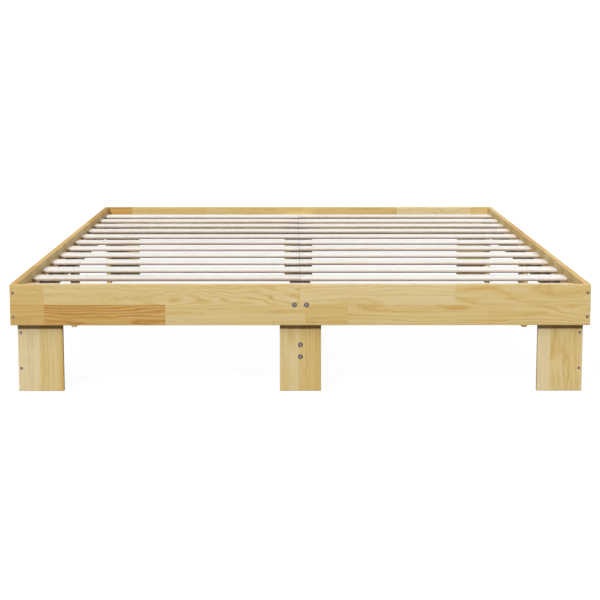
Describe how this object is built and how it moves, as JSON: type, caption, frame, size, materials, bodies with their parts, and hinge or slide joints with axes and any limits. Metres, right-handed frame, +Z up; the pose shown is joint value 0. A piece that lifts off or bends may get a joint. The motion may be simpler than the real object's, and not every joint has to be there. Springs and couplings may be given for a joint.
{
  "type": "wooden bed frame",
  "caption": "Low wooden double bed frame: plain board rails round a slatted deck for a mattress, standing on board legs.",
  "frame": {"origin": "middle of the footprint, on the floor", "axes": "+Z up, -Y towards the foot end, +X to the right seen from the foot end"},
  "size_m": [1.435, 2.035, 0.271],
  "materials": {
    "oak": "light oiled oak, finger-jointed staves",
    "support_wood": "plain sawn and planed",
    "slat_wood": "pale, planed, rounded edges",
    "zinc_steel": "zinc plated"
  },
  "bodies": {
    "root": {"barrel_nuts": "zinc_steel", "batten_left": "support_wood", "batten_right": "support_wood", "batten_screws": "zinc_steel", "beam_bolts": "zinc_steel", "beam_screws": "zinc_steel", "centre_beam": "support_wood", "centre_leg_bolts": "zinc_steel", "centre_leg_foot_board": "oak", "centre_leg_foot_web": "oak", "centre_leg_head_board": "oak", "centre_leg_head_web": "oak", "centre_leg_middle_board": "oak", "centre_leg_middle_web": "oak", "corner_leg_foot_left_end_board": "oak", "corner_leg_foot_left_side_board": "oak", "corner_leg_foot_right_end_board": "oak", "corner_leg_foot_right_side_board": "oak", "corner_leg_head_left_end_board": "oak", "corner_leg_head_left_side_board": "oak", "corner_leg_head_right_end_board": "oak", "corner_leg_head_right_side_board": "oak", "foot_rail": "oak", "head_rail": "oak", "leg_board_screws": "zinc_steel", "leg_corner_screws": "zinc_steel", "mid_leg_left": "oak", "mid_leg_right": "oak", "rail_corner_screws": "zinc_steel", "side_rail_left": "oak", "side_rail_right": "oak", "slat_01_left": "slat_wood", "slat_01_right": "slat_wood", "slat_02_left": "slat_wood", "slat_02_right": "slat_wood", "slat_03_left": "slat_wood", "slat_03_right": "slat_wood", "slat_04_left": "slat_wood", "slat_04_right": "slat_wood", "slat_05_left": "slat_wood", "slat_05_right": "slat_wood", "slat_06_left": "slat_wood", "slat_06_right": "slat_wood", "slat_07_left": "slat_wood", "slat_07_right": "slat_wood", "slat_08_left": "slat_wood", "slat_08_right": "slat_wood", "slat_09_left": "slat_wood", "slat_09_right": "slat_wood", "slat_10_left": "slat_wood", "slat_10_right": "slat_wood", "slat_11_left": "slat_wood", "slat_11_right": "slat_wood", "slat_12_left": "slat_wood", "slat_12_right": "slat_wood", "slat_screws": "zinc_steel"}
  },
  "joints": []
}
